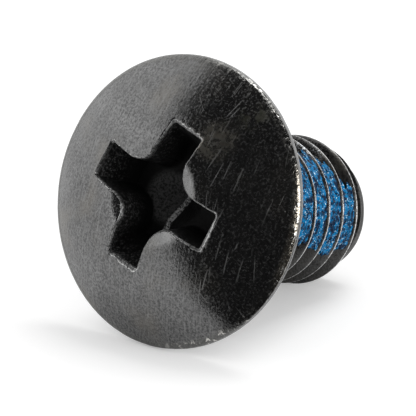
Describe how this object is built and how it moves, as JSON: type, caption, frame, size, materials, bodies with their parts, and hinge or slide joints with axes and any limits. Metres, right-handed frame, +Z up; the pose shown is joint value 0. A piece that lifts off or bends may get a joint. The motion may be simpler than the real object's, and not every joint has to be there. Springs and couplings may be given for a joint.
{
  "type": "machine screw",
  "caption": "Short steel machine screw with a low domed head, a cross recess, a metric thread and a blue nylon locking patch.",
  "frame": {"origin": "on the floor, under the middle of the bounding box of the screw as it lies on its side", "axes": "+X from the head to the tip along the floor, +Z up; the screw's axis dips 17.8 degrees towards the tip in the XZ plane"},
  "size_m": [0.0062, 0.0056, 0.0055],
  "materials": {
    "screw": "satin black nickel plate, finely scratched",
    "locking_patch": "grainy blue nylon with a slight gloss"
  },
  "bodies": {
    "root": {"screw": "screw", "locking_patch": "locking_patch"}
  },
  "joints": []
}
